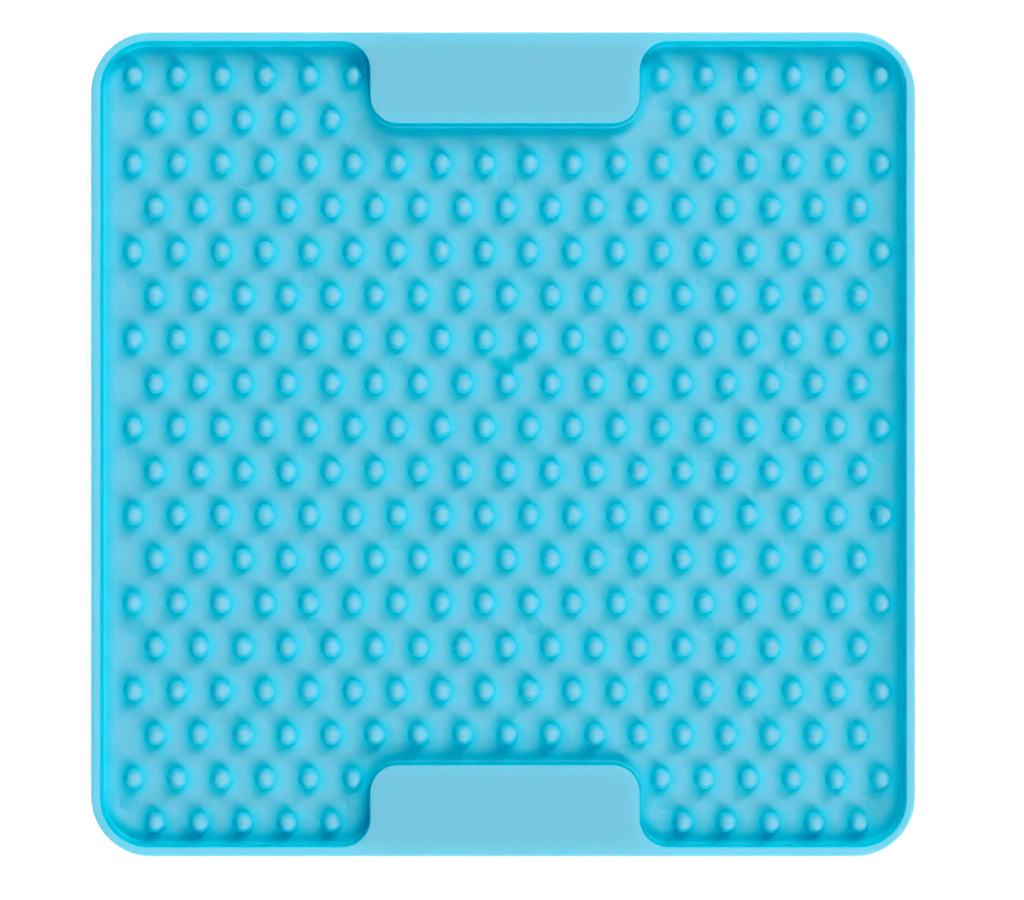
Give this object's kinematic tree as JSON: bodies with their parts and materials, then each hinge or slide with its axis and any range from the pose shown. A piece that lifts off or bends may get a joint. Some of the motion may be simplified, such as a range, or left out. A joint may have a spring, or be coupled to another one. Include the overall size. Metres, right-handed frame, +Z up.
{
  "type": "lick mat",
  "caption": "Square lick mat for pets in soft moulded rubber: a shallow tray with a raised rim, two blank pads level with the rim, and staggered rows of domed nubs that hold soft food.",
  "frame": {"origin": "centre of the flat underside, on the surface that the mat lies on", "axes": "+Z up, out of the tray; +Y towards the side that the picture shows at the top, where one of the two pads is; +X to the right as seen from above"},
  "size_m": [0.2, 0.2, 0.0075],
  "materials": {
    "rubber": "satin"
  },
  "bodies": {
    "root": {"mat": "rubber"}
  },
  "joints": []
}
